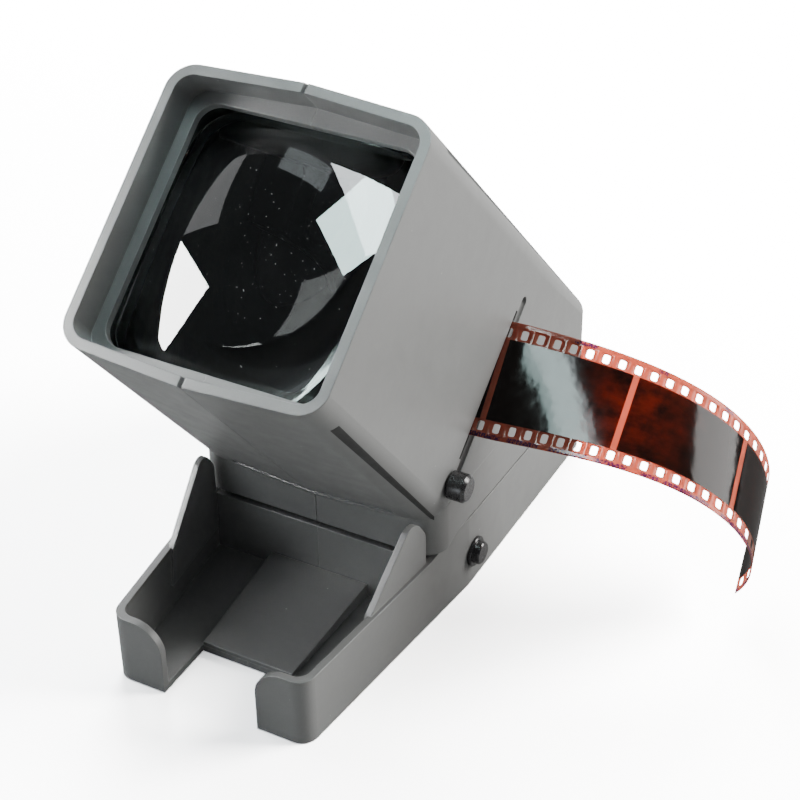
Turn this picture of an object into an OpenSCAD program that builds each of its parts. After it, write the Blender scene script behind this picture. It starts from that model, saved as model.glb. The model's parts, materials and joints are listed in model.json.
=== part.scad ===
// Desktop viewer for mounted slides and film strips.
// A magnifying hood (the head) rocks on two pins in a battery base with a catch tray.
// Frame: x to the viewer's right, y to the back, z up; the origin is the middle of
// the footprint on the table.

/* [Base] */
// length of the footprint, front to back
base_len = 162; // [158:1:166]
// half width of the base at the back
base_half_w = 39.5; // [39:0.1:40]
// half width of the tray at the front lips
lip_half_w = 31; // [30:0.5:33]
// height of the tray wall and lips
lip_h = 22.3; // [21:0.1:23]
// half width of the finger notch
notch_half_w = 15; // [13:0.5:17]
// height of the rounded ears beside the head
ear_h = 41; // [38:0.5:42]
// wall thickness of the base shells
base_wall = 2.2; // [2:0.1:2.6]

/* [Head] */
// width of the hood at the front rim
rim_w = 77; // [76:0.5:78]
// height of the hood rim at its sides
rim_side_h = 80; // [79:0.5:81]
// height of the hood rim at the parting line
rim_mid_h = 84.2; // [83.5:0.1:84.6]
// wall thickness of the head shells
head_wall = 2.8; // [2.4:0.1:3.0]
// edge rounding of the hood
edge_r = 8; // [6:0.5:9]
// tilt of the picture plane from the table
tilt = 38.8; // [38.2:0.1:39.4]

/* [Optics] */
// radius of both lens faces
lens_r = 110; // [106:1:125]
// centre thickness of the lens
lens_t = 23; // [22:0.5:24]
// side of the square picture window
window = 37; // [35:0.5:40]
// gap that slides and film run in
channel = 3; // [2.8:0.1:3.2]

/* [Controls] */
// diameter of the release knobs
knob_d = 8.4; // [7.5:0.1:9]
// how far a release knob stands out at rest
knob_out = 5.6; // [5:0.1:6.5]
// travel of a release knob
knob_travel = 4.5; // [4:0.1:4.5]

/* [View] */
// the piece to draw, or all of them

/* [Hidden] */
$fn = 64;
e = 0.01;
rim_y = 32.2; rim_z = 135.05;
L = base_len;
hinge_y = 83.5; hinge_z = 10.5;
A_film = 91.8;                 // depth of the picture plane behind the rim
A_gate = A_film - channel/2 - 0.1;   // front face of the channel
A_dif = A_gate + channel;      // back face of the channel
knob_u = -28;                  // height of the release pins in the picture plane
A_lens = 19.4;
seam_y = [60, 72, L];
seam_z = [22.6, 25.2, 22.3];
gap = 1.0;
c_body = [0.42,0.43,0.43]; c_black = [0.06,0.06,0.07]; c_steel = [0.75,0.76,0.78];

// ---------- helpers ----------
function un(v) = v/norm(v);
function ang(a,b) = acos(max(-1,min(1,(un(a)*un(b)))));
function wrap(i,n) = (i+n)%n;
// corner tangent points and centre
function tl(p,i,r) = let(n=len(p),a=p[wrap(i-1,n)]-p[i],b=p[wrap(i+1,n)]-p[i]) r/tan(ang(a,b)/2);
function ctr(p,i,r) = let(n=len(p),a=un(p[wrap(i-1,n)]-p[i]),b=un(p[wrap(i+1,n)]-p[i])) p[i]+un(a+b)*r/sin(ang(a,b)/2);
module rpoly(p,r) {
  n=len(p);
  polygon([for(i=[0:n-1]) each (r[i]>0 ?
    [p[i]+un(p[wrap(i-1,n)]-p[i])*tl(p,i,r[i]), p[i]+un(p[wrap(i+1,n)]-p[i])*tl(p,i,r[i])] : [p[i]])]);
  for(i=[0:n-1]) if (r[i]>0) translate(ctr(p,i,r[i])) circle(r=r[i]);
}
// anticlockwise polygon moved inward, edge i runs from point i to i+1
function lin(p,i,t) = let(n=len(p),a=p[i],b=p[wrap(i+1,n)],d=un(b-a),m=[-d[1],d[0]]) [a+m*t,d];
function meet(l,k) = let(d=l[1],g=k[1],w=k[0]-l[0],x=d[0]*g[1]-d[1]*g[0]) l[0]+d*((w[0]*g[1]-w[1]*g[0])/x);
function inset(p,t) = let(n=len(p)) [for(i=[0:n-1]) meet(lin(p,wrap(i-1,n),t[wrap(i-1,n)]),lin(p,i,t[i]))];

module place() { translate([0,-L/2,0]) children(); }
// head frame: x right, y up along the picture plane, z out toward the eye (depth is -z)
module hf() { translate([0,rim_y,rim_z]) rotate([tilt,0,0]) children(); }
// side profile in (y,z) drawn and pushed along x
module xprism(x0,x1) { translate([x0,0,0]) rotate([90,0,90]) linear_extrude(x1-x0) children(); }
module xcyl(x0,x1,y,z,r) { translate([x0,y,z]) rotate([0,90,0]) cylinder(r=r,h=x1-x0); }
module xcyl_h(x0,x1,u,A,r) { hf() translate([x0,u,-A]) rotate([0,90,0]) cylinder(r=r,h=x1-x0); }
module hbox(x0,x1,u0,u1,A0,A1) { hf() translate([x0,u0,-A1]) cube([x1-x0,u1-u0,A1-A0]); }
module half(s) { intersection() { children(); translate([s>0?0:-200,-50,-50]) cube([200,400,400]); } }

// ---------- head ----------
cs = sin(tilt); cc = cos(tilt);   // picture plane up = (0,cc,cs), into the body = (0,cs,-cc)
function hy(u,A) = rim_y + u*cc + A*cs;
function hz(u,A) = rim_z + u*cs - A*cc;
topdir = 47.1;                    // slope of the top face
rtop = [hy(rim_mid_h/2,0), hz(rim_mid_h/2,0)];
zt = rtop[1] - (L-rtop[0])*tan(topdir);
main_pts = [[hy(-60,0),hz(-60,0)],[52,seam_z[0]+1.4],[seam_y[1],seam_z[1]+gap],[L,seam_z[2]+gap],[L,zt],rtop];
blk_pts = [[60,seam_z[0]+1.4],[66,seam_z[0]+1.6],[seam_y[1],seam_z[1]+gap],[L,seam_z[2]+gap],[L,40],[60,40]];

module sec(t,updown) {
  w = rim_w/2-t; s = rim_side_h/2-t; m = rim_mid_h/2-t; r = edge_r-t;
  if (updown>0) rpoly([[-w,-150],[w,-150],[w,s],[0,m],[-w,s]],[0,0,r,0,r]);
  else rpoly([[-w,-s],[0,-m],[w,-s],[w,150],[-w,150]],[r,0,r,0,0]);
}
module plan_head(t) translate([0,0,-20]) linear_extrude(260)
  rpoly([[-base_half_w+t,-60],[base_half_w-t,-60],[base_half_w-t,L-t],[-base_half_w+t,L-t]],[0,0,5-t/2,5-t/2]);
module plan_block(t) translate([0,0,t>0?-20:0]) linear_extrude(t>0?80:60)
  rpoly([[-base_half_w+t,60+t],[base_half_w-t,60+t],[base_half_w-t,L-t],[-base_half_w+t,L-t]],[7-t/2,7-t/2,5-t/2,5-t/2]);
module head_solid(t,s) {
  k = t>0 ? 1 : 0;
  intersection() {
    xprism(-60,60) rpoly(inset(main_pts,[-20*k,-20*k,-20*k,t,t,-20*k]), [0,0,0,0,20-t,0]);
    hf() rotate([0,-s*0.5,0]) translate([0,0,-230]) linear_extrude(270) sec(t,-1);
    hf() translate([0,rim_side_h/2,0]) rotate([90-tilt-topdir,0,0]) rotate([0,-s*0.5,0]) translate([0,-rim_side_h/2,-230]) linear_extrude(270) sec(t,1);
    plan_head(t);
  }
  intersection() {
    xprism(-60,60) rpoly(inset(blk_pts,[-20*k,-20*k,-20*k,t,0,t]), [0,k>0?0:0,0,0,0,0]);
    plan_block(t);
  }
}
head_pin_pos = [[-30.5,62],[30.5,64]];    // (u, A)
head_pin_rear = [[140,60],[112,31.5]];    // (y, z)
module head_pin_axes(x0,x1,r) {
  for(p=head_pin_pos) xcyl_h(x0,x1,p[0],p[1],r);
  for(p=head_pin_rear) xcyl(x0,x1,p[0],p[1],r);
}
// rail ribs that carry a plate: from the side wall in to |x| = xin
module side_ribs(s,xin,u0,u1,A0,A1) { hbox(s>0?xin:-38.4,s>0?38.4:-xin,u0,u1,A0,A1); }
module head_shell(s) {
  difference() {
    union() {
      half(s) difference() { head_solid(0,s); head_solid(head_wall,s); }
      half(s) intersection() {
        head_solid(0.6,s);
        union() {
          // stepped ledge in front of the lens and the seat behind it
          difference() {
            hf() translate([0,0,-12.6]) linear_extrude(2.4) square([90,100],center=true);
            hf() translate([0,0,-13]) linear_extrude(4) rpoly([[-32.6,-35],[32.6,-35],[32.6,35],[-32.6,35]],[6,6,6,6]);
          }
          difference() {
            hf() translate([0,0,-28.8]) linear_extrude(2.2) square([90,100],center=true);
            hf() translate([0,0,-29.2]) linear_extrude(4) rpoly([[-32,-34],[32,-34],[32,34],[-32,34]],[9,9,9,9]);
          }
          // seats for the gate frame and the light box
          for(a=[[A_gate-4.4,A_gate-2.6],[A_dif+5.1,A_dif+6.9]]) for(q=[[-21,-9],[20,32]])
            side_ribs(s,33,q[0],q[1],a[0],a[1]);
        }
      }
      // bosses for the locating pins
      half(s) intersection() { head_solid(0.6,s); head_pin_axes(0,38,3.6); }
      // arm that hangs into the base and carries the pin bore
      difference() {
        xprism(s>0?33.4:-36.2,s>0?36.2:-33.4) rpoly([[hinge_y-6,hinge_z-6],[hinge_y+6,hinge_z-6],[hinge_y+8,44],[hinge_y-8,44]],[5.9,5.9,0,0]);
      }
      xprism(s>0?33.4:-37.6,s>0?37.6:-33.4) polygon([[hinge_y-7.4,28.5],[hinge_y+7.4,28.5],[hinge_y+8,44],[hinge_y-8,44]]);
      // tab over the light switch, or over the return spring
      xprism(s>0?13:-21,s>0?21:-13) polygon([[61,25.5],[69,25.5],[69,29.5],[64.5,34.5],[61,34.5]]);
      translate([s>0?14.5:-19.5,63.8,19.9]) cube([5,4.4,7]);
      // sleeves that guide the release pins
      xcyl_h(s>0?34.4:-38,s>0?38:-34.4,knob_u,A_film,3.4);
    }
    // film slit, through the side wall, and the relief behind it
    hbox(s>0?30:-50,s>0?50:-30,-20.5,25.3,A_film-0.6,A_film+0.6);
    hf() translate([s*39.5,0,0]) { sl = [for(v=[29,-23.5]) v];
      for(v=sl) translate([0,v,-A_film-2.4]) sphere(r=1.7);
      translate([0,-23.5,-A_film-2.4]) rotate([-90,0,0]) cylinder(r=1.7,h=52.5); }
    // slot for mounted slides in the top face and the drop slot in the bottom face
    hbox(-26,26,30,70,A_gate,A_dif);
    hbox(-26.5,26.5,-60,-34,A_gate-0.2,A_dif+0.4);
    // release pin bores
    xcyl_h(-60,60,knob_u,A_film,1.5);
    // pin bore in the arm and the locating holes
    xcyl(-45,45,hinge_y,hinge_z,2.56);
    head_pin_axes(-30,16,1.45);
    // narrow reveal along the parting line
    difference() {
      translate([-0.12,-20,-20]) cube([0.24,200,200]);
      head_solid(0.5,s);
    }
    // v notch at both ends of the parting line on the rim
    for(u=[-rim_mid_h/2,rim_mid_h/2]) hf() translate([0,u,0]) rotate([90,0,0]) rotate([0,0,45]) cube([1.1,1.1,9],center=true);
  }
}
module head_shell_left() color(c_body) place() mirror([1,0,0]) head_shell(1);
module head_shell_right() color(c_body) place() head_shell(1);

module magnifier_lens() color([0.8,0.9,0.88,0.4]) place() hf() translate([0,0,-A_lens]) intersection() {
  translate([0,0,-lens_t]) linear_extrude(2*lens_t) rpoly([[-34.6,-36.6],[34.6,-36.6],[34.6,36.6],[-34.6,36.6]],[10,10,10,10]);
  translate([0,0,lens_t/2-lens_r]) sphere(r=lens_r,$fn=128);
  translate([0,0,-lens_t/2+lens_r]) sphere(r=lens_r,$fn=128);
}
module gate_frame() color(c_black) place() difference() {
  union() {
    hf() translate([0,0,-A_gate]) linear_extrude(2.4) polygon([[-36,-20],[-25,-22],[-25,-34],[25,-34],[25,-22],[36,-20],[36,33],[-36,33]]);
    for(x=[-1,1]) {
      hbox(x>0?26.1:-28.6,x>0?28.6:-26.1,27,33,A_gate-1,A_dif-0.2);
    }
  }
  hf() translate([0,0,-A_gate-1]) linear_extrude(5) rpoly([[-window/2,-window/2],[window/2,-window/2],[window/2,window/2],[-window/2,window/2]],[2,2,2,2]);
}
// two bowed leaf strips on the light side of the channel
module pressure_springs() color(c_steel) place() hf() for(x=[-23,23]) translate([x-1.5,0,0])
  rotate([90,0,90]) linear_extrude(3) intersection() {
    translate([-18,-A_dif-2]) square([36,4]);
    translate([0,-A_dif+1.05-200]) difference() { circle(r=200,$fn=400); circle(r=199.75,$fn=400); }
  }
module light_diffuser() color([0.97,0.97,0.95]) place() hbox(-24.5,24.5,-22,22,A_dif+0.1,A_dif+2.1);
module light_box() color([0.93,0.93,0.91]) place() difference() {
  union() { hbox(-26,26,-23.5,23.5,A_dif+0.1,118); hbox(-36,36,-20.5,23.5,A_dif+3,A_dif+5); }
  hbox(-24.55,24.55,-22.05,22.05,A_dif,A_dif+2.15);
  hbox(-22.5,22.5,-20,20,A_dif,130);
}
module led_board() color([0.1,0.3,0.16]) place() difference() {
  hbox(-25.5,25.5,-23,23,118.05,119.6);
  for(x=[-23,23]) hf() translate([x,-20.5,-125]) cylinder(r=0.8,h=12);
}
module leds() color([1,0.95,0.6]) place() for(x=[-13,0,13],u=[-9,9]) {
  hbox(x-1.75,x+1.75,u-1.4,u+1.4,117.0,118.05);
  hf() translate([x,u,-117]) cylinder(r=1.2,h=0.3);
}
wire_a = [[0,hy(-16,119.75),hz(-16,119.75)],[0,97.6,30],[0,95.5,24.5],[0,93,19.5],[0,95.2,17],[0,101.3,17]];
module led_wires() color([0.7,0.1,0.1]) place() for(x=[-3,3]) {
  wire_run([for(q=wire_a) q+[x,0,0]],0.7);
}
// round wire along straight runs, one closed skin
function ring(p,d,r,m) = let(n=un(d),u=[1,0,0],v=cross(n,u)) [for(i=[0:m-1]) p+u*r*cos(360*i/m)+v*r*sin(360*i/m)];
module wire_run(p,r) { m=8; n=len(p);
  dir=[for(i=[0:n-1]) i==0?p[1]-p[0]:i==n-1?p[i]-p[i-1]:un(p[i]-p[i-1])+un(p[i+1]-p[i])];
  pts=[for(i=[0:n-1]) each ring(p[i],dir[i],r,m)];
  polyhedron(points=pts,faces=concat([[for(j=[0:m-1]) j]],
    [for(i=[0:n-2],j=[0:m-1]) [m*i+j,m*i+m+j,m*i+m+(j+1)%m,m*i+(j+1)%m]],
    [[for(j=[m-1:-1:0]) m*(n-1)+j]]));
}

// ---------- release knobs ----------
module release_knob(s) color(c_black) place() hf() translate([0,knob_u,-A_film]) rotate([0,s*90,0]) {
  translate([0,0,39.6]) rotate_extrude() polygon([[0,0],[knob_d/2-0.15,0],[knob_d/2,0.3],[knob_d/2,knob_out-0.9],[knob_d/2-0.9,knob_out],[0,knob_out]]);
  translate([0,0,23.2]) cylinder(r=1.44,h=17);
  translate([0,0,26.4]) cylinder(r=2.7,h=1.1);
}
module release_knob_left() release_knob(-1);
module release_knob_right() release_knob(1);
module spring_solid(r,w,h,n) { for(i=[0:n]) translate([0,0,w/2+(h-w)*i/n]) rotate_extrude() translate([r,0]) circle(d=w,$fn=24);
  for(a=[0,180]) rotate([0,0,a]) translate([r,0,w/2]) cylinder(d=w*0.7,h=h-w,$fn=16); }
module release_spring(s) color(c_steel) place() hf() translate([0,knob_u,-A_film]) rotate([0,s*90,0])
  translate([0,0,27.6]) spring_solid(2.1,0.5,6.7,3);
module release_spring_left() release_spring(-1);
module release_spring_right() release_spring(1);

module screw(x0,l,rh,rs) {
  rotate([0,90,0]) { difference() { cylinder(r=rh,h=2); translate([0,0,-1]) { cube([0.8,3.2,4],center=true); cube([3.2,0.8,4],center=true); } }
  translate([0,0,2]) cylinder(r=rs,h=l-1); translate([0,0,l+1]) cylinder(r1=rs,r2=0.5,h=1,$fn=24); }
}
module head_locating_pins() color(c_steel) place() {
  for(p=head_pin_pos) hf() translate([0,p[0],-p[1]]) locating_pin();
  for(p=head_pin_rear) translate([0,p[0],p[1]]) locating_pin();
}
module locating_pin() { rotate([0,90,0]) rotate_extrude() polygon([[0,-15],[0.9,-15],[1.4,-14.2],[1.4,14.2],[0.9,15],[0,15]]); }

// ---------- base ----------
plan_pts = [[-lip_half_w,0],[lip_half_w,0],[39.3,80],[base_half_w,L],[-base_half_w,L],[-39.3,80]];
function bw(y) = y<80 ? lip_half_w+(39.3-lip_half_w)*y/80 : 39.3;
base_prof = [[0,0],[L,0],[L,seam_z[2]],[seam_y[1],seam_z[1]],[66,23.6],[60,lip_h],[0,lip_h]];
module plan_base(t) rpoly(inset(plan_pts,[t,t,t,t,t,t]),[5-t/2,5-t/2,0,5-t/2,5-t/2,0]);
module base_solid(t) intersection() {
  translate([0,0,0]) linear_extrude(60) plan_base(t);
  xprism(-60,60) polygon(t>0 ? inset(base_prof,[t,0,-20,-20,-20,-20,0]) : base_prof);
}
screw_b = [[66,8.2],[95,9.5]];
module base_bosses(x0,x1,r) { for(p=screw_b) xcyl(x0,x1,p[0],p[1],r); }
module ear(s) {
  a = atan((39.3-lip_half_w)/80);
  intersection() {
    // plate parallel to the flared wall, set in from its outer face
    translate([s*lip_half_w,0,0]) rotate([0,0,-s*a]) translate([s>0?-3.0:1.2,0,0]) cube([1.8,100,60]);
    xprism(-60,60) rpoly([[30,10],[59.3,10],[59.3,33],[53.6,ear_h+0.9],[32,lip_h]],[0,0,5,4.5,2]);
  }
}
module base_shell(s) {
  difference() {
    union() {
      half(s) difference() { base_solid(0); base_solid(base_wall); }
      ear(s);
      half(s) intersection() {
        base_solid(0.4);
        union() {
          // wall behind the tray and the bulkhead, roof and rear stop of the battery bay
          translate([-60,60,0]) cube([120,base_wall,seam_z[0]-0.6]);
          translate([-60,100,0]) cube([120,1.6,19.6]);
          translate([-60,100,18.2]) cube([120,62,1.6]);
          // shelf for the switch and the return spring
          difference() { translate([-27,62,10.8]) cube([54,10.5,1.6]); }
          // floor rails beside the battery cover
          for(x=[-1,1]) translate([x>0?31.9:-33.9,101.7,0]) cube([2,56,3.4]);
        }
      }
      half(s) intersection() { base_solid(0.4); base_bosses(s>0?0:-39,s>0?39:0,s>0?3.4:3.9); }
    }
    // finger notch
    translate([-notch_half_w,-5,-1]) cube([2*notch_half_w,24.5,60]);
    // rounded inner corners of the lips
    for(x=[-1,1]) difference() {
      translate([x>0?notch_half_w-1:-notch_half_w-9,-1,lip_h-9]) cube([10,4.4,12]);
      translate([x*(notch_half_w+9),-2,lip_h-9]) rotate([-90,0,0]) cylinder(r=9,h=8);
    }
    // battery door opening with its guide grooves, open to the back
    translate([-30.2,101,-1]) cube([60.4,80,3.9]);
    translate([-31.7,101,0.7]) cube([63.4,80,1.3]);
    // pin bores, screw wells and pilot holes
    xcyl(-60,60,hinge_y,hinge_z,2.52);
    base_bosses(-30,16,1.45);
    if (s<0) base_bosses(-60,-12,3.0);
    // feet pockets
    for(p=feet_pos) translate([p[0],p[1],-1]) cylinder(r=3.45,h=2.35);
    // wires through the bulkhead
    for(x=[-3,3]) translate([x,97,17]) rotate([-90,0,0]) cylinder(r=1.15,h=6);
    // pocket for the switch body
    translate([12.4,62.4,12.4]) cube([9.2,7.4,9]);
    difference() {
      translate([-0.12,-20,0.8]) cube([0.24,200,80]);
      base_solid(0.5);
    }
  }
}
feet_pos = [[-23.5,9],[23.5,9],[-35.4,152],[35.4,152]];
module base_shell_left() color(c_body) place() base_shell(-1);
module base_shell_right() color(c_body) place() base_shell(1);
module tray_ramp() color(c_body) place() intersection() {
  translate([0,0,2.2]) linear_extrude(10) polygon([[-14.6,19.5],[14.6,19.5],[16.2,59.9],[-16.2,59.9]]);
  xprism(-30,30) polygon([[19.5,2],[59.9,2],[59.9,6.4],[19.5,3.6]]);
}
module hinge_pin(s) color(c_black) place() translate([0,hinge_y,hinge_z]) rotate([0,s*90,0]) {
  translate([0,0,39.42]) rotate_extrude() polygon([[0,0],[4.7,0],[4.7,0.7],[4.45,0.95],[3.6,0.95],[3.5,2.5],[3.1,2.9],[0,2.9]]);
  translate([0,0,32]) cylinder(r=2.5,h=7.5);
}
module hinge_pin_left() hinge_pin(-1);
module hinge_pin_right() hinge_pin(1);
module light_switch() color(c_black) place() difference() {
  union() { translate([12.6,62.6,12.45]) cube([8.8,7,4.6]);
    for(x=[14.2,17,19.8]) translate([x-0.3,69.6,13.2]) cube([0.6,2.4,0.5]); }
  translate([17,66,14.4]) cylinder(r=1.66,h=6);
}
module switch_plunger() color([0.9,0.9,0.88]) place() translate([17,66,15.2]) cylinder(r=1.6,h=4.65);
module head_return_spring() color(c_steel) place() translate([-17,66,12.45]) spring_solid(2.3,0.6,7.4,6);
bat_x = [-22.35,-7.45,7.45,22.35]; bat_z = 10.6;
module batteries() color([0.2,0.2,0.22]) place() for(i=[0:3]) translate([bat_x[i],102.2,bat_z]) {
  f = i%2;
  translate([0,f?0:1.2,0]) rotate([-90,0,0]) cylinder(r=7.15,h=48.8);
  translate([0,f?48.7:0,0]) rotate([-90,0,0]) cylinder(r=2.7,h=1.3);
}
module battery_contacts_front() color(c_steel) place() for(x=[-14.9,14.9]) translate([x-13.6,101.7,5]) cube([27.2,0.4,11]);
module battery_contacts_rear() color(c_steel) place() {
  for(q=[[-29,-16],[-13.6,13.6],[16,29]]) translate([q[0],157.6,5]) cube([q[1]-q[0],0.4,11.2]);
  for(x=bat_x) translate([x,157.5,bat_z]) rotate([90,0,0]) spring_solid(2.6,0.7,5.1,3);
}
module battery_cover() color(c_body) place() {
  difference() {
    union() { translate([-29.95,101.25,0.2]) cube([59.9,L-101.25,1.9]); translate([-31.45,101.25,0.9]) cube([62.9,L-104.25,0.9]); }
    for(y=[146:3:155]) translate([-9,y,-0.2]) cube([18,1.3,0.9]);
  }
}
module rubber_feet() color([0.05,0.05,0.05]) place() for(p=feet_pos) translate([p[0],p[1],0]) cylinder(r=3.4,h=1.3);
module base_screws() color(c_steel) place() for(p=screw_b) translate([-14,p[0],p[1]]) screw(0,20,2.7,1.4);

// ---------- film ----------
// centre line of the strip in the head frame, x right, v down, A deep
f_q = [45.195,-4.835,91.918,0.072,-0.0707];
function rx(v,a) = [v[0],v[1]*cos(a)-v[2]*sin(a),v[1]*sin(a)+v[2]*cos(a)];
function rot_about(v,k,a) = v*cos(a)+cross(k,v)*sin(a)+k*(k*v)*(1-cos(a));
function kap(s) = let(u=s/100) (0.2146+2.906*u-0.0313*u*u+0.8038*u*u*u)/100*57.29578;
function twi(s) = let(u=s/100) (-0.8437+0.432*u+0.3407*u*u+0.331*u*u*u)/100*57.29578;
fb = f_q[4]*57.29578; fa = f_q[3]*57.29578;
e1 = [cos(fb)*cos(fa), sin(fb)*cos(fa), sin(fa)];
e2 = [-sin(fb), cos(fb), 0];
e3 = cross(e1,e2);
// each step: bend toward +A about e2, twist about e1
function step(st,h) = let(p=st[0],a=st[1],b=st[2],c=st[3],s=st[4],
    k=kap(s+h/2)*h, w=twi(s+h/2)*h,
    a1=rot_about(a,b,-k), c1=rot_about(c,b,-k), b2=rot_about(b,a1,w), c2=rot_about(c1,a1,w))
  [p+un(a+a1)*h, a1, b2, c2, s+h];
function walk(st,h,n) = n==0 ? [st] : concat([st], walk(step(st,h),h,n-1));
film_w = 35; film_t = 0.3;
outp = walk([[f_q[0],f_q[1],f_q[2]],e1,e2,e3,0],4.5,24);
// straight part inside the gate, in the picture plane
d_in = [cos(fb),sin(fb),0];
p_in = [f_q[0],f_q[1],0]-d_in*6;
fpts0 = [[[p_in[0],p_in[1],A_film]-d_in*72, d_in, [-sin(fb),cos(fb),0],[0,0,1]],
         [[p_in[0],p_in[1],91.6]-d_in*0, d_in, [-sin(fb),cos(fb),0],[0,0,1]]];
st_all = concat(fpts0,[for(o=outp) [o[0],o[1],o[2],o[3]]]);
function loc(v) = [v[0],-v[1],-v[2]];
module film_strip() color([0.75,0.3,0.2,0.9]) place() hf() {
  n=len(st_all);
  pts=[for(q=st_all) each [loc(q[0]-q[2]*film_w/2-q[3]*film_t/2),loc(q[0]+q[2]*film_w/2-q[3]*film_t/2),
                           loc(q[0]+q[2]*film_w/2+q[3]*film_t/2),loc(q[0]-q[2]*film_w/2+q[3]*film_t/2)]];
  fs=concat([[0,1,2],[0,2,3]],[for(i=[0:n-2],j=[0:3]) each let(a=4*i+j,b=4*i+(j+1)%4,c=b+4,d=a+4) [[a,d,c],[a,c,b]]],
     [[4*n-4,4*n-2,4*n-3],[4*n-4,4*n-1,4*n-2]]);
  polyhedron(points=pts,faces=fs);
}

head_shell_left();
head_shell_right();
magnifier_lens();
gate_frame();
pressure_springs();
light_diffuser();
light_box();
led_board();
leds();
led_wires();
release_knob_left();
release_knob_right();
release_spring_left();
release_spring_right();
head_locating_pins();
hinge_pin_left();
hinge_pin_right();
base_shell_left();
base_shell_right();
tray_ramp();
light_switch();
switch_plunger();
head_return_spring();
batteries();
battery_contacts_front();
battery_contacts_rear();
battery_cover();
rubber_feet();
base_screws();
film_strip();
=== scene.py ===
import bpy, json, math, random
import numpy as np
from mathutils import Vector, Matrix


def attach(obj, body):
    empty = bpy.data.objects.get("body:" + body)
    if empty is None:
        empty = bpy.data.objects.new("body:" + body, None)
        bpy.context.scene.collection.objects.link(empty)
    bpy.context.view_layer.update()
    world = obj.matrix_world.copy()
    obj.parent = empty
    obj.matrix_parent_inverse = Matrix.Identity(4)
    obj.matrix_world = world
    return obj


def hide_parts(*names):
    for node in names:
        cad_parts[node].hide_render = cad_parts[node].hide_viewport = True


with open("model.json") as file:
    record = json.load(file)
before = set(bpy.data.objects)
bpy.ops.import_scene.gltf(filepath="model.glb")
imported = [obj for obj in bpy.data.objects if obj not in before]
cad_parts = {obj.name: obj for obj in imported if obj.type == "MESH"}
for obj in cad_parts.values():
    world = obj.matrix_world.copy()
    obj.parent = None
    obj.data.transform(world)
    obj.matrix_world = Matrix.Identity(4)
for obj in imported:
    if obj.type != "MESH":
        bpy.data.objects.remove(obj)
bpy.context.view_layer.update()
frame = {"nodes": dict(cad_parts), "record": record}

N = frame["nodes"]
rnd = random.Random(7)

# ------------------------------------------------------------------ frames
TILT = math.radians(38.8); CS, CC = math.sin(TILT), math.cos(TILT)
RIM_Y, RIM_Z = 32.2, 135.05


def head(x, u, A):
    """head frame in mm (x right, u up the picture plane, A deep) to the row frame in metres"""
    return Vector((x, RIM_Y + u * CC + A * CS - 81.0, RIM_Z + u * CS - A * CC)) * 0.001


CAM = Vector((0.23752, -0.40352, 0.38387))
FWD = Vector((-0.39233775, 0.71648003, -0.57682533)).normalized()
RIGHT = Vector((0.88136282, 0.47226469, -0.01286991)).normalized()
UP = RIGHT.cross(FWD).normalized()
FPX = 1983.6


def ray(px, py):
    return (FWD + RIGHT * ((px - 400) / FPX) - UP * ((py - 400) / FPX)).normalized()


# ------------------------------------------------------------------ materials
class G:
    def __init__(self, name):
        self.m = bpy.data.materials.new(name); self.m.use_nodes = True
        self.t = self.m.node_tree; self.t.nodes.clear()
        self.out = self.n("ShaderNodeOutputMaterial")

    def n(self, kind, **kw):
        x = self.t.nodes.new(kind)
        for k, v in kw.items():
            setattr(x, k, v)
        return x

    def l(self, a, b):
        self.t.links.new(a, b)

    def coords(self):
        return self.n("ShaderNodeTexCoord").outputs["Object"]

    def noise(self, scale, detail=3.0, rough=0.5, vec=None, stretch=None):
        x = self.n("ShaderNodeTexNoise"); x.inputs["Scale"].default_value = scale
        x.inputs["Detail"].default_value = detail; x.inputs["Roughness"].default_value = rough
        v = vec or self.coords()
        if stretch:
            mp = self.n("ShaderNodeMapping"); mp.inputs["Scale"].default_value = stretch
            self.l(v, mp.inputs["Vector"]); v = mp.outputs["Vector"]
        self.l(v, x.inputs["Vector"])
        return x.outputs["Fac"]

    def remap(self, v, a, b, c, d):
        x = self.n("ShaderNodeMapRange"); x.inputs["From Min"].default_value = a; x.inputs["From Max"].default_value = b
        x.inputs["To Min"].default_value = c; x.inputs["To Max"].default_value = d
        self.l(v, x.inputs["Value"]); return x.outputs["Result"]

    def math(self, op, a, b=None):
        x = self.n("ShaderNodeMath", operation=op)
        for i, v in enumerate((a, b)):
            if v is None: continue
            if isinstance(v, (int, float)): x.inputs[i].default_value = v
            else: self.l(v, x.inputs[i])
        return x.outputs[0]

    def mix(self, fac, a, b):
        x = self.n("ShaderNodeMix", data_type="RGBA")
        for i, v in ((0, fac), (6, a), (7, b)):
            if isinstance(v, (int, float)): x.inputs[i].default_value = v
            elif isinstance(v, (tuple, list)): x.inputs[i].default_value = (*v[:3], 1)
            else: self.l(v, x.inputs[i])
        return x.outputs[2]

    def bump(self, h, strength, dist, normal=None):
        x = self.n("ShaderNodeBump"); x.inputs["Strength"].default_value = strength; x.inputs["Distance"].default_value = dist
        self.l(h, x.inputs["Height"])
        if normal is not None: self.l(normal, x.inputs["Normal"])
        return x.outputs["Normal"]


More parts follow.
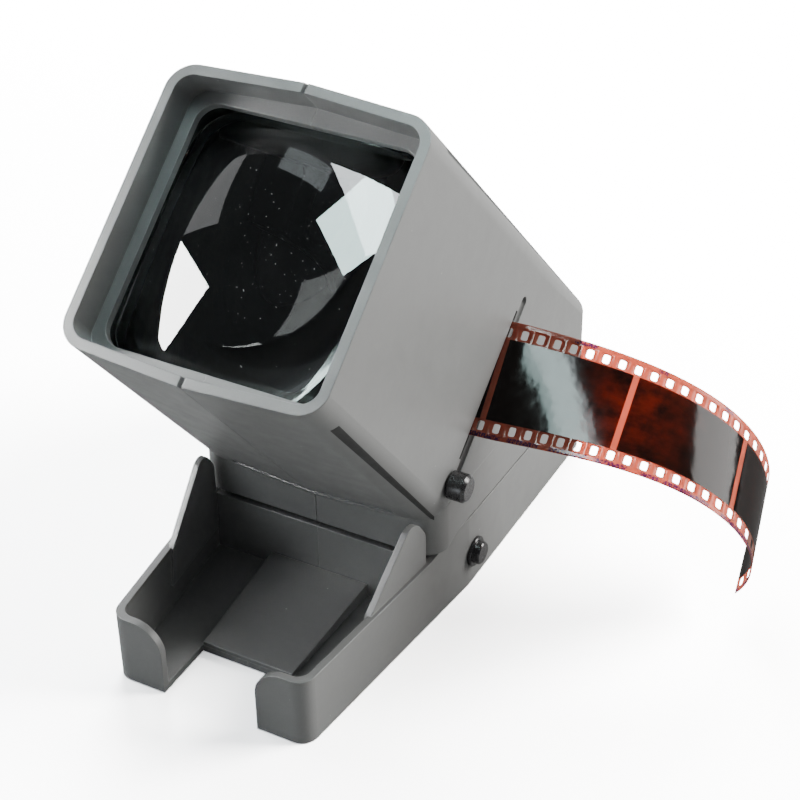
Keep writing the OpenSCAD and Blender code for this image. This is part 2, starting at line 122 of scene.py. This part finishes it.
def painted_shade_behind_lens_mask(g):
    """1 on the walls behind the lens, in the head frame: where the shell gets a painted shade"""
    sep = g.n("ShaderNodeSeparateXYZ"); g.l(g.coords(), sep.inputs[0])
    y = g.math("SUBTRACT", g.math("MULTIPLY", sep.outputs[1], 1000.0), RIM_Y - 81.0)
    z = g.math("SUBTRACT", g.math("MULTIPLY", sep.outputs[2], 1000.0), RIM_Z)
    ax = g.math("ABSOLUTE", g.math("MULTIPLY", sep.outputs[0], 1000.0))
    u = g.math("ADD", g.math("MULTIPLY", y, CC), g.math("MULTIPLY", z, CS))
    A = g.math("SUBTRACT", g.math("MULTIPLY", y, CS), g.math("MULTIPLY", z, CC))
    lim = g.math("SUBTRACT", 40.6, g.math("MULTIPLY", ax, 0.0545))
    ok = g.math("MULTIPLY", g.math("GREATER_THAN", A, 13.6), g.math("LESS_THAN", ax, 37.3))
    ok = g.math("MULTIPLY", ok, g.math("LESS_THAN", u, g.math("ADD", lim, g.math("MULTIPLY", A, 0.0733))))
    ok = g.math("MULTIPLY", ok, g.math("GREATER_THAN", u, g.math("MULTIPLY", lim, -1.0)))
    return g.math("MULTIPLY", ok, g.math("LESS_THAN", y, 161.3 - RIM_Y))


def plastic(name, col, rough=0.45, grain=2600, grain_s=0.25, edge=0.35, edge_r=0.00045, spec=0.5, dust=0.5, coat=0.0, var=0.10):
    g = G(name)
    p = g.n("ShaderNodeBsdfPrincipled"); g.l(p.outputs[0], g.out.inputs[0])
    bev = g.n("ShaderNodeBevel"); bev.samples = 4; bev.inputs["Radius"].default_value = edge_r
    geo = g.n("ShaderNodeNewGeometry")
    dot = g.n("ShaderNodeVectorMath", operation="DOT_PRODUCT")
    g.l(bev.outputs[0], dot.inputs[0]); g.l(geo.outputs["Normal"], dot.inputs[1])
    # edge mask from the bevel normal: drives worn edge colour, a painted edge highlight, and lower roughness
    edge_wear_and_highlight_mask = g.remap(dot.outputs["Value"], 0.985, 0.80, 0.0, 1.0)
    broad = g.noise(14, 3); mid = g.noise(160, 4, 0.6); fine = g.noise(grain, 2, 0.6)
    lo = tuple(c * (1 - var) for c in col); hi = tuple(min(1, c * (1 + var)) for c in col)
    c1 = g.mix(broad, lo, hi)
    c1 = g.mix(g.remap(fine, 0.35, 0.75, 0.0, 0.16), c1, tuple(min(1, c * 1.55 + 0.01) for c in col))
    # rubbed streaks
    streak = g.remap(g.noise(34, 6, 0.62, stretch=(1.0, 9.0, 4.0)), 0.60, 0.74, 0.0, 0.10)
    c1 = g.mix(streak, c1, tuple(min(1, c * 1.5 + 0.015) for c in col))
    # edges lighter: worn polished edges, and partly a painted edge highlight
    c1 = g.mix(g.math("MULTIPLY", edge_wear_and_highlight_mask, edge), c1, tuple(min(1, c * 2.2 + 0.06) for c in col))
    # dust specks
    v = g.n("ShaderNodeTexVoronoi"); v.inputs["Scale"].default_value = 210; g.l(g.coords(), v.inputs["Vector"])
    near = g.remap(v.outputs["Distance"], 0.035, 0.055, 1.0, 0.0)
    few = g.remap(g.noise(90, 2), 0.60, 0.64, 0.0, dust)
    speck = g.math("MULTIPLY", near, few)
    c1 = g.mix(speck, c1, (0.72, 0.72, 0.70))
    # painted shade: the shell walls behind the lens are coloured near-black, standing in for the shade inside the head
    if name.startswith("shell"): c1 = g.mix(painted_shade_behind_lens_mask(g), c1, (0.012, 0.013, 0.013))
    g.l(c1, p.inputs["Base Color"])
    r = g.math("ADD", g.remap(mid, 0.3, 0.7, rough - 0.06, rough + 0.06), g.remap(fine, 0.3, 0.7, -0.04, 0.05))
    r = g.math("SUBTRACT", r, g.math("MULTIPLY", edge_wear_and_highlight_mask, 0.08))
    g.l(r, p.inputs["Roughness"])
    p.inputs["Specular IOR Level"].default_value = spec
    if coat: p.inputs["Coat Weight"].default_value = coat; p.inputs["Coat Roughness"].default_value = 0.18
    nb = g.bump(fine, grain_s, 0.00006, bev.outputs[0])
    nb = g.bump(broad, 0.12, 0.0008, nb)
    g.l(nb, p.inputs["Normal"])
    return g.m


def metal(name, col, rough=0.3):
    g = G(name); p = g.n("ShaderNodeBsdfPrincipled"); g.l(p.outputs[0], g.out.inputs[0])
    p.inputs["Metallic"].default_value = 1.0
    a = g.noise(300, 4, 0.6, stretch=(1, 1, 12)); b = g.noise(40, 4)
    g.l(g.mix(b, tuple(c * 0.82 for c in col), col), p.inputs["Base Color"])
    g.l(g.remap(a, 0.3, 0.7, rough - 0.1, rough + 0.15), p.inputs["Roughness"])
    g.l(g.bump(a, 0.2, 0.00005), p.inputs["Normal"])
    return g.m


def simple(name, col, rough, var=0.12, trans=0.0, grain=900):
    g = G(name); p = g.n("ShaderNodeBsdfPrincipled"); g.l(p.outputs[0], g.out.inputs[0])
    a = g.noise(grain, 3); b = g.noise(30, 3)
    g.l(g.mix(b, tuple(c * (1 - var) for c in col), tuple(min(1, c * (1 + var)) for c in col)), p.inputs["Base Color"])
    g.l(g.remap(a, 0.3, 0.7, rough - 0.05, rough + 0.07), p.inputs["Roughness"])
    g.l(g.bump(a, 0.18, 0.00005), p.inputs["Normal"])
    if trans: p.inputs["Transmission Weight"].default_value = trans
    return g.m


SHELL = (0.205, 0.208, 0.205)
M = {
    "shell": plastic("shell_grey_satin", SHELL, rough=0.44),
    "black_plastic": plastic("inner_black", (0.022, 0.022, 0.024), rough=0.5, dust=0.2),
    "knob": plastic("knob_black", (0.012, 0.012, 0.013), rough=0.26, grain_s=0.08, edge=0.12, spec=0.6, dust=0.3, coat=0.25),
    "steel": metal("spring_steel", (0.62, 0.62, 0.63)),
    "battery": simple("battery_sleeve", (0.05, 0.06, 0.08), 0.3),
    "rubber": plastic("rubber_pads", (0.02, 0.02, 0.02), rough=0.8, grain_s=0.4, edge=0.05),
    "opal": simple("opal_sheet", (0.85, 0.85, 0.82), 0.4, 0.03),
    "white_plastic": simple("white_plastic", (0.78, 0.78, 0.75), 0.4, 0.04),
    "board": simple("green_board", (0.03, 0.16, 0.07), 0.4),
    "led": simple("led_yellow", (0.85, 0.78, 0.4), 0.2),
    "wire": simple("wire_red", (0.5, 0.03, 0.02), 0.35),
}
rec = frame["record"]
slot_of = {s["node"]: s["material_slot"] for s in rec["subparts"]}
for n, o in N.items():
    s = slot_of[n]
    if s in M:
        o.data.materials.clear(); o.data.materials.append(M[s])
# the inside of the hood is the same moulding, a touch darker on the rim's fine eroded texture
# (handled by light; no separate slot)


def lens_material():
    g = G("lens_glass"); p = g.n("ShaderNodeBsdfPrincipled")
    p.inputs["Base Color"].default_value = (0.93, 0.975, 0.955, 1)
    p.inputs["Transmission Weight"].default_value = 1.0; p.inputs["IOR"].default_value = 1.52
    sm = g.noise(26, 5, 0.65)
    g.l(g.remap(sm, 0.45, 0.8, 0.0, 0.035), p.inputs["Roughness"])
    g.l(g.bump(g.noise(9, 2), 0.05, 0.00002), p.inputs["Normal"])
    d = g.n("ShaderNodeBsdfDiffuse"); d.inputs["Color"].default_value = (0.7, 0.72, 0.72, 1)
    mx = g.n("ShaderNodeMixShader")
    haze = g.remap(g.noise(70, 5, 0.7), 0.5, 0.8, 0.002, 0.02)
    g.l(haze, mx.inputs[0]); g.l(p.outputs[0], mx.inputs[1]); g.l(d.outputs[0], mx.inputs[2]); g.l(mx.outputs[0], g.out.inputs[0])
    return g.m


def film_material():
    g = G("film_base")
    uv = g.n("ShaderNodeUVMap"); uv.uv_map = "strip"
    sep = g.n("ShaderNodeSeparateXYZ"); g.l(uv.outputs[0], sep.inputs[0])
    s = g.math("MULTIPLY", sep.outputs[0], 1000.0); w = g.math("MULTIPLY", sep.outputs[1], 1000.0)
    s = g.math("SUBTRACT", s, 500.0); w = g.math("SUBTRACT", w, 500.0)
    aw = g.math("ABSOLUTE", w)
    # frames: 38 mm pitch, 1.7 mm gap, centred at 33.3
    ph = g.math("SUBTRACT", s, 33.3 - 19.0)
    fr = g.math("FLOORED_MODULO", ph, 38.0)
    dist = g.math("ABSOLUTE", g.math("SUBTRACT", fr, 19.0))      # 0 at the gap
    infr = g.math("MULTIPLY", g.remap(dist, 0.80, 0.98, 0.0, 1.0), g.remap(aw, 12.25, 12.0, 0.0, 1.0))
    comb = g.n("ShaderNodeCombineXYZ"); g.l(s, comb.inputs[0]); g.l(w, comb.inputs[1])
    cl = g.noise(0.11, 5, 0.62, vec=comb.outputs[0]); hz = g.noise(0.05, 4, 0.6, vec=comb.outputs[0], stretch=(0.6, 3.4, 1))
    glow = g.remap(g.math("ABSOLUTE", g.math("SUBTRACT", s, 36.0)), 4.0, 22.0, 1.0, 0.0)
    red = g.math("MULTIPLY", glow, g.remap(g.math("MULTIPLY", cl, g.math("ADD", hz, 0.5)), 0.34, 0.75, 0.06, 1.0))
    dark = g.mix(red, (0.055, 0.035, 0.030), (0.36, 0.085, 0.05))
    orange = g.mix(g.noise(0.25, 4, vec=comb.outputs[0]), (0.86, 0.37, 0.27), (0.91, 0.42, 0.31))
    # printed edge ticks, no characters: bars of uneven width
    tick = g.noise(1.9, 2, 0.8, vec=comb.outputs[0], stretch=(1.0, 0.35, 1))
    runs = g.remap(g.noise(0.16, 1, 0.3, vec=comb.outputs[0], stretch=(1, 0, 1)), 0.42, 0.46, 0.0, 1.0)
    low = g.math("MULTIPLY", g.remap(w, 15.95, 16.05, 0.0, 1.0), g.remap(w, 17.35, 17.25, 0.0, 1.0))
    up = g.math("MULTIPLY", g.remap(w, -16.0, -16.1, 0.0, 1.0), g.remap(w, -17.2, -17.1, 0.0, 1.0))
    upruns = g.remap(g.noise(0.09, 1, 0.3, vec=comb.outputs[0], stretch=(1, 0, 1)), 0.585, 0.60, 0.0, 1.0)
    marks = g.math("MULTIPLY", g.remap(tick, 0.47, 0.50, 0.0, 1.0), g.math("ADD", g.math("MULTIPLY", low, runs), g.math("MULTIPLY", up, upruns)))
    orange = g.mix(g.math("MINIMUM", marks, 0.92), orange, (0.20, 0.09, 0.36))
    col = g.mix(infr, orange, dark)
    mul = g.n("ShaderNodeMix", data_type="RGBA", blend_type="MULTIPLY"); mul.inputs[0].default_value = 1.0
    g.l(col, mul.inputs[6]); mul.inputs[7].default_value = (0.40, 0.33, 0.32, 1)
    tr = g.n("ShaderNodeBsdfTransparent"); g.l(mul.outputs[2], tr.inputs[0])
    tl = g.n("ShaderNodeBsdfTranslucent"); g.l(col, tl.inputs[0])
    df = g.n("ShaderNodeBsdfDiffuse"); g.l(col, df.inputs[0])
    m0 = g.n("ShaderNodeMixShader"); m0.inputs[0].default_value = 0.5; g.l(tl.outputs[0], m0.inputs[1]); g.l(df.outputs[0], m0.inputs[2])
    m1 = g.n("ShaderNodeMixShader"); m1.inputs[0].default_value = 0.22; g.l(tr.outputs[0], m1.inputs[1]); g.l(m0.outputs[0], m1.inputs[2])
    gl = g.n("ShaderNodeBsdfGlossy"); g.l(g.remap(g.noise(0.3, 4, vec=comb.outputs[0]), 0.3, 0.7, 0.07, 0.16), gl.inputs["Roughness"])
    wav = g.bump(g.noise(0.08, 3, vec=comb.outputs[0]), 0.25, 0.0008); g.l(wav, gl.inputs["Normal"])
    fz = g.n("ShaderNodeFresnel"); fz.inputs[0].default_value = 1.5
    m2 = g.n("ShaderNodeMixShader"); g.l(g.math("MULTIPLY", fz.outputs[0], 0.30), m2.inputs[0]); g.l(m1.outputs[0], m2.inputs[1]); g.l(gl.outputs[0], m2.inputs[2])
    g.l(m2.outputs[0], g.out.inputs[0])
    return g.m


# ------------------------------------------------------------------ mesh helpers
def make(name, verts, faces, mat, smooth=True, uvs=None):
    me = bpy.data.meshes.new(name); me.from_pydata([tuple(v) for v in verts], [], faces); me.validate(); me.update()
    if uvs is not None:
        layer = me.uv_layers.new(name="strip")
        for lp in me.loops: layer.data[lp.index].uv = uvs[lp.vertex_index]
    if smooth:
        for p in me.polygons: p.use_smooth = True
    me.materials.append(mat)
    o = bpy.data.objects.new(name, me); bpy.context.scene.collection.objects.link(o)
    return o


# ------------------------------------------------------------------ lens
def outline(hx, hy, r, n):
    pts = []
    for cx, cy, a0 in ((hx - r, hy - r, 0), (-hx + r, hy - r, 90), (-hx + r, -hy + r, 180), (hx - r, -hy + r, 270)):
        for i in range(n):
            a = math.radians(a0 + 90 * i / (n - 1)); pts.append((cx + r * math.cos(a), cy + r * math.sin(a)))
    out = []
    for i, p in enumerate(pts):                       # split the long flats
        q = pts[(i + 1) % len(pts)]; L = math.dist(p, q); k = max(1, int(L / 1.6))
        out += [(p[0] + (q[0] - p[0]) * j / k, p[1] + (q[1] - p[1]) * j / k) for j in range(k)]
    return out


R_L, T_L, A_L = 110.0, 23.0, 19.4


def front_z(x, u):
    return T_L / 2 - R_L + math.sqrt(R_L * R_L - x * x - u * u)


def build_lens():
    ol = outline(34.5, 36.5, 10.0, 14); n = len(ol); rings = 56
    verts, faces = [], []
    for side in (1, -1):
        base = len(verts); verts.append(head(0, 0, A_L - side * front_z(0, 0)))
        for k in range(1, rings + 1):
            f = k / rings * (1 - 0.006)
            for (x, u) in ol:
                verts.append(head(x * f, u * f, A_L - side * front_z(x * f, u * f)))
        for j in range(n):
            t = (base, base + 1 + j, base + 1 + (j + 1) % n); faces.append(t if side > 0 else t[::-1])
        for k in range(rings - 1):
            for j in range(n):
                a = base + 1 + k * n + j; b = base + 1 + k * n + (j + 1) % n
                t = (a, a + n, b + n, b); faces.append(t if side > 0 else t[::-1])
    fr = 1 + (rings - 1) * n; bk = fr + 1 + rings * n
    e1 = len(verts)
    for side in (1, -1):
        for (x, u) in ol: verts.append(head(x, u, A_L - side * (front_z(x * 0.994, u * 0.994) - 0.25)))
    for j in range(n):
        k = (j + 1) % n
        faces += [(fr + j, e1 + j, e1 + k, fr + k), (e1 + j, e1 + n + j, e1 + n + k, e1 + k), (e1 + n + j, bk + j, bk + k, e1 + n + k)]
    o = make("lens_glass_piece", verts, faces, lens_material())
    bm_fix(o)
    return o


def bm_fix(o):
    import bmesh
    bm = bmesh.new(); bm.from_mesh(o.data); bmesh.ops.recalc_face_normals(bm, faces=bm.faces)
    bm.to_mesh(o.data); bm.free()


lens = build_lens(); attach(lens, "head"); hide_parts("magnifier_lens")

# dust on the lens: small flat-bottomed flecks
dv, df_ = [], []
dm = simple("dust_fleck", (0.8, 0.8, 0.78), 0.7)
for i in range(120):
    x = rnd.gauss(2, 13); u = rnd.gauss(-2, 14)
    if abs(x) > 31 or abs(u) > 31: continue
    r = rnd.choice((0.06, 0.07, 0.08, 0.09, 0.13)); ln = r * rnd.choice((1, 1, 1.3, 3.2)); a0 = rnd.random() * 6.28
    b = len(dv); k = 5
    for j in range(k):
        a = 2 * math.pi * j / k; px = ln * math.cos(a); pu = r * math.sin(a)
        X = x + px * math.cos(a0) - pu * math.sin(a0); U = u + px * math.sin(a0) + pu * math.cos(a0)
        dv.append(head(X, U, A_L - front_z(X, U) - 0.005))
    dv.append(head(x, u, A_L - front_z(x, u) - 0.05 - r * 0.4))
    df_ += [(b + j, b + (j + 1) % k, b + k) for j in range(k)]
dust = make("lens_dust", dv, df_, dm, smooth=False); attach(dust, "head")

# ------------------------------------------------------------------ film strip with real perforations
def rot(v, k, a):
    return v * math.cos(a) + k.cross(v) * math.sin(a) + k * (k.dot(v)) * (1 - math.cos(a))


def film_path():
    fa, fb = 0.072, -0.0707
    e1 = Vector((math.cos(fb) * math.cos(fa), math.sin(fb) * math.cos(fa), math.sin(fa)))
    e2 = Vector((-math.sin(fb), math.cos(fb), 0)); e3 = e1.cross(e2)
    p = Vector((45.195, -4.835, 91.918)); h = 0.25; s = 0.0; out = [(0.0, p.copy(), e1.copy(), e2.copy())]
    while s < 108.5:
        u = (s + h / 2) / 100
        k = (0.2146 + 2.906 * u - 0.0313 * u * u + 0.8038 * u ** 3) / 100 * h
        t = (-0.8437 + 0.432 * u + 0.3407 * u * u + 0.331 * u ** 3) / 100 * h
        a1 = rot(e1, e2, -k); b2 = rot(e2, a1, t)
        p = p + (e1 + a1).normalized() * h; e1, e2 = a1.normalized(), b2.normalized(); s += h
        out.append((s, p.copy(), e1.copy(), e2.copy()))
    return out


PATH = film_path()
D_IN = Vector((math.cos(-0.0707), math.sin(-0.0707), 0)); E2_IN = Vector((-math.sin(-0.0707), math.cos(-0.0707), 0))


def film_point(s, w):
    if s < 0:
        c = Vector((45.195, -4.835, 0)) + D_IN * s
        A = 91.918 + (91.6 - 91.918) * (-s / 6) if s > -6 else 91.6 + 0.2 * (-s - 6) / 72
        q = c + E2_IN * w
        return head(q.x, -q.y, A)
    i = min(int(s / 0.25), len(PATH) - 2); f = s / 0.25 - i
    p = PATH[i][1].lerp(PATH[i + 1][1], f); e = PATH[i][3].lerp(PATH[i + 1][3], f)
    q = p + e * w
    return head(q.x, -q.y, q.z)


PITCH = 4.75
def build_film():
    k0, k1 = -16, 22
    s_lines = [k * PITCH + d for k in range(k0, k1 + 1) for d in (-2.375, -1.1875, 0.0, 1.1875)] + [k1 * PITCH + 2.375]
    s_lines = [min(max(s, -77.8), 107.8) for s in s_lines]
    w_lines = [-17.45, -16.9, -16.175, -15.13, -14.085, -13.04, -11.995] + [-10, -8, -6, -4, -2, 0, 2, 4, 6, 8, 10] + [11.995, 13.04, 14.085, 15.13, 16.175, 16.9, 17.45]
    idx, verts, uvs, faces = {}, [], [], []

    def vert(s, w, key=None):
        key = key or (round(s, 4), round(w, 4))
        if key not in idx:
            idx[key] = len(verts); verts.append(film_point(s, w)); uvs.append(((s + 500) / 1000, (w + 500) / 1000))
        return idx[key]
    hole_cols = {(2, 6), (18, 22)}
    skip = set(range(2, 6)) | set(range(18, 22))
    for i in range(len(s_lines) - 1):
        for j in range(len(w_lines) - 1):
            if j in skip: continue
            a, b, c, d = (s_lines[i], w_lines[j]), (s_lines[i + 1], w_lines[j]), (s_lines[i + 1], w_lines[j + 1]), (s_lines[i], w_lines[j + 1])
            faces.append([vert(*a), vert(*b), vert(*c), vert(*d)])
    for k in range(k0, k1 + 1):
        i0 = (k - k0) * 4; ss = s_lines[i0:i0 + 5]; sc = k * PITCH
        for (j0, wc) in ((2, -14.085), (18, 14.085)):
            ws = w_lines[j0:j0 + 5]
            ring = [(ss[q], ws[0]) for q in range(4)] + [(ss[4], ws[q]) for q in range(4)] + [(ss[4 - q], ws[4]) for q in range(4)] + [(ss[0], ws[4 - q]) for q in range(4)]
            hs, hw, r = 0.99, 1.40, 0.5
            inner = []
            for q, (s_, w_) in enumerate(ring):
                side, step = divmod(q, 4)
                # rounded rectangle: corners become short arcs
                cx = [(-hs, -hw), (hs, -hw), (hs, hw), (-hs, hw)][side]; nx = [(hs, -hw), (hs, hw), (-hs, hw), (-hs, -hw)][side]
                if step == 0:
                    p = (cx[0] * (1 - 0.2929 * r / hs), cx[1] * (1 - 0.2929 * r / hw))
                else:
                    t = {1: r / (2 * (hs if side % 2 == 0 else hw)), 2: 0.5, 3: 1 - r / (2 * (hs if side % 2 == 0 else hw))}[step]
                    p = (cx[0] + (nx[0] - cx[0]) * t, cx[1] + (nx[1] - cx[1]) * t)
                inner.append(p)
            oi = [vert(*p) for p in ring]
            if sc - hs < -77.5 or sc + hs > 107.6:
                continue
            ii = [vert(sc + p[0], wc + p[1], ("h", k, j0, q)) for q, p in enumerate(inner)]
            for q in range(16):
                q2 = (q + 1) % 16; faces.append([oi[q], oi[q2], ii[q2], ii[q]])
    faces = [f for f in faces if len(set(f)) > 2]
    o = make("film_strip_piece", verts, faces, film_material(), uvs=uvs)
    bm_fix(o)
    md = o.modifiers.new("thickness", "SOLIDIFY"); md.thickness = 0.00014; md.offset = 0.0; md.use_even_offset = False
    return o


film = build_film(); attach(film, "film_strip"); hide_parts("film_strip")

# ------------------------------------------------------------------ stage
g = G("floor_white")
p = g.n("ShaderNodeBsdfPrincipled"); p.inputs["Roughness"].default_value = 0.7; p.inputs["Specular IOR Level"].default_value = 0.2
g.l(g.mix(g.noise(3, 3), (0.50, 0.50, 0.50), (0.54, 0.54, 0.54)), p.inputs["Base Color"])
hot = g.n("ShaderNodeBsdfDiffuse"); hot.inputs[0].default_value = (9.0, 9.0, 9.0, 1)
lift = g.n("ShaderNodeEmission"); lift.inputs[1].default_value = 0.4
ad = g.n("ShaderNodeAddShader"); g.l(hot.outputs[0], ad.inputs[0]); g.l(lift.outputs[0], ad.inputs[1])
lp = g.n("ShaderNodeLightPath"); mx = g.n("ShaderNodeMixShader")
g.l(lp.outputs["Is Camera Ray"], mx.inputs[0]); g.l(p.outputs[0], mx.inputs[1]); g.l(ad.outputs[0], mx.inputs[2]); g.l(mx.outputs[0], g.out.inputs[0])
floor = make("floor", [(-4, -4, -0.0002), (4, -4, -0.0002), (4, 4, -0.0002), (-4, 4, -0.0002)], [(0, 1, 2, 3)], g.m, smooth=False)


def area(name, loc, target, size, power, col=(1, 1, 1), size_y=None):
    L = bpy.data.lights.new(name, "AREA"); L.energy = power; L.color = col; L.size = size
    if size_y: L.shape = "RECTANGLE"; L.size_y = size_y
    o = bpy.data.objects.new(name, L); bpy.context.scene.collection.objects.link(o)
    o.location = loc; d = Vector(target) - Vector(loc)
    o.rotation_euler = d.to_track_quat("-Z", "Y").to_euler()
    return o


KEY = area("key_right_back", (1.05, 0.78, 0.58), (0, 0, 0.05), 0.75, 36, (1.0, 0.985, 0.965))
TOPB = area("top_back", (-0.45, 1.05, 0.80), (0, 0, 0.05), 0.9, 22)
LEFT = area("left_fill", (-1.1, 0.1, 0.75), (0, 0, 0.05), 0.8, 4.5, (0.97, 0.985, 1.0))
LOW = area("front_low", (-0.45, -1.15, 0.16), (0, -0.05, 0.02), 0.6, 3.6, (0.90, 0.95, 1.0))
w = bpy.data.worlds.new("studio"); bpy.context.scene.world = w; w.use_nodes = True
w.node_tree.nodes["Background"].inputs[0].default_value = (0.88, 0.94, 1, 1)
w.node_tree.nodes["Background"].inputs[1].default_value = 0.10


# soft boxes that show in the lens
def reflect_point(px, py, dist):
    """where a panel must stand so that the lens front shows it at this place in the view"""
    d = ray(px, py); c = head(0, 0, A_L - (T_L / 2 - R_L)); r = R_L * 0.001
    oc = CAM - c; b = oc.dot(d); disc = b * b - (oc.dot(oc) - r * r)
    if disc <= 0: return None
    hit = CAM + d * (-b - math.sqrt(disc)); nrm = (hit - c).normalized()
    rd = d - nrm * (2 * d.dot(nrm))
    return hit + rd * dist


def softbox(name, poly, dist, strength, col, additive=False):
    cx = sum(p[0] for p in poly) / len(poly); cy = sum(p[1] for p in poly) / len(poly)
    edge = []
    for i, a in enumerate(poly):
        b = poly[(i + 1) % len(poly)]
        edge += [(a[0] + (b[0] - a[0]) * t / 8, a[1] + (b[1] - a[1]) * t / 8) for t in range(8)]
    v = [reflect_point(cx, cy, dist)]; f = []
    K = 8
    for k in range(1, K + 1):
        v += [reflect_point(cx + (x - cx) * k / K, cy + (y - cy) * k / K, dist) for x, y in edge]
    if any(x is None for x in v): raise SystemExit("panel off the lens: " + name)
    n = len(edge)
    for j in range(n):
        f += [(0, 1 + j, 1 + (j + 1) % n)]
        f += [(1 + q * n + j, 1 + (q + 1) * n + j, 1 + (q + 1) * n + (j + 1) % n, 1 + q * n + (j + 1) % n) for q in range(K - 1)]
    c = head(0, 0, A_L - (T_L / 2 - R_L)); nr = (v[1] - v[0]).cross(v[2] - v[0])
    if nr.dot(c - v[0]) < 0: f = [t[::-1] for t in f]
    g = G(name + "_m"); em = g.n("ShaderNodeEmission"); em.inputs[1].default_value = strength
    geo = g.n("ShaderNodeNewGeometry")
    g.l(g.math("MULTIPLY", g.math("SUBTRACT", 1.0, geo.outputs["Backfacing"]), strength), em.inputs[1])
    g.l(g.mix(g.noise(60, 2), tuple(c * 0.80 for c in col), col), em.inputs[0])
    if additive:
        t = g.n("ShaderNodeBsdfTransparent"); ad = g.n("ShaderNodeAddShader"); g.l(em.outputs[0], ad.inputs[0]); g.l(t.outputs[0], ad.inputs[1]); g.l(ad.outputs[0], g.out.inputs[0])
    else: g.l(em.outputs[0], g.out.inputs[0])
    o = make(name, v, f, g.m, smooth=False)
    o.visible_camera = False; o.visible_diffuse = False; o.visible_transmission = False; o.visible_shadow = False; o.visible_volume_scatter = False
    return o


softbox("box_left", [(180.6, 240.3), (208.8, 286.3), (160.7, 357.2), (139.6, 352.3), (128.4, 333.6), (132.1, 288.8)], 0.40, 110, (1, 1, 1), True)
softbox("box_right_far", [(328.7, 158.2), (359.7, 134.1), (395.8, 140.8), (428, 152), (398, 248), (366, 256), (345, 195)], 0.40, 26, (0.90, 0.97, 1.0), True)
softbox("box_right_near", [(316.2, 219.7), (344.8, 195.5), (375, 168), (392, 190), (400, 235), (343.6, 275.9)], 0.42, 40, (0.74, 1.0, 0.98), True)

# ------------------------------------------------------------------ camera
cam = bpy.data.cameras.new("cam"); cam.sensor_width = 36; cam.lens = FPX / 800 * 36
co = bpy.data.objects.new("cam", cam); bpy.context.scene.collection.objects.link(co)
m = Matrix((RIGHT, UP, -FWD)).transposed().to_4x4(); m.translation = CAM; co.matrix_world = m
cam.clip_start = 0.01; cam.clip_end = 20
bpy.context.scene.camera = co
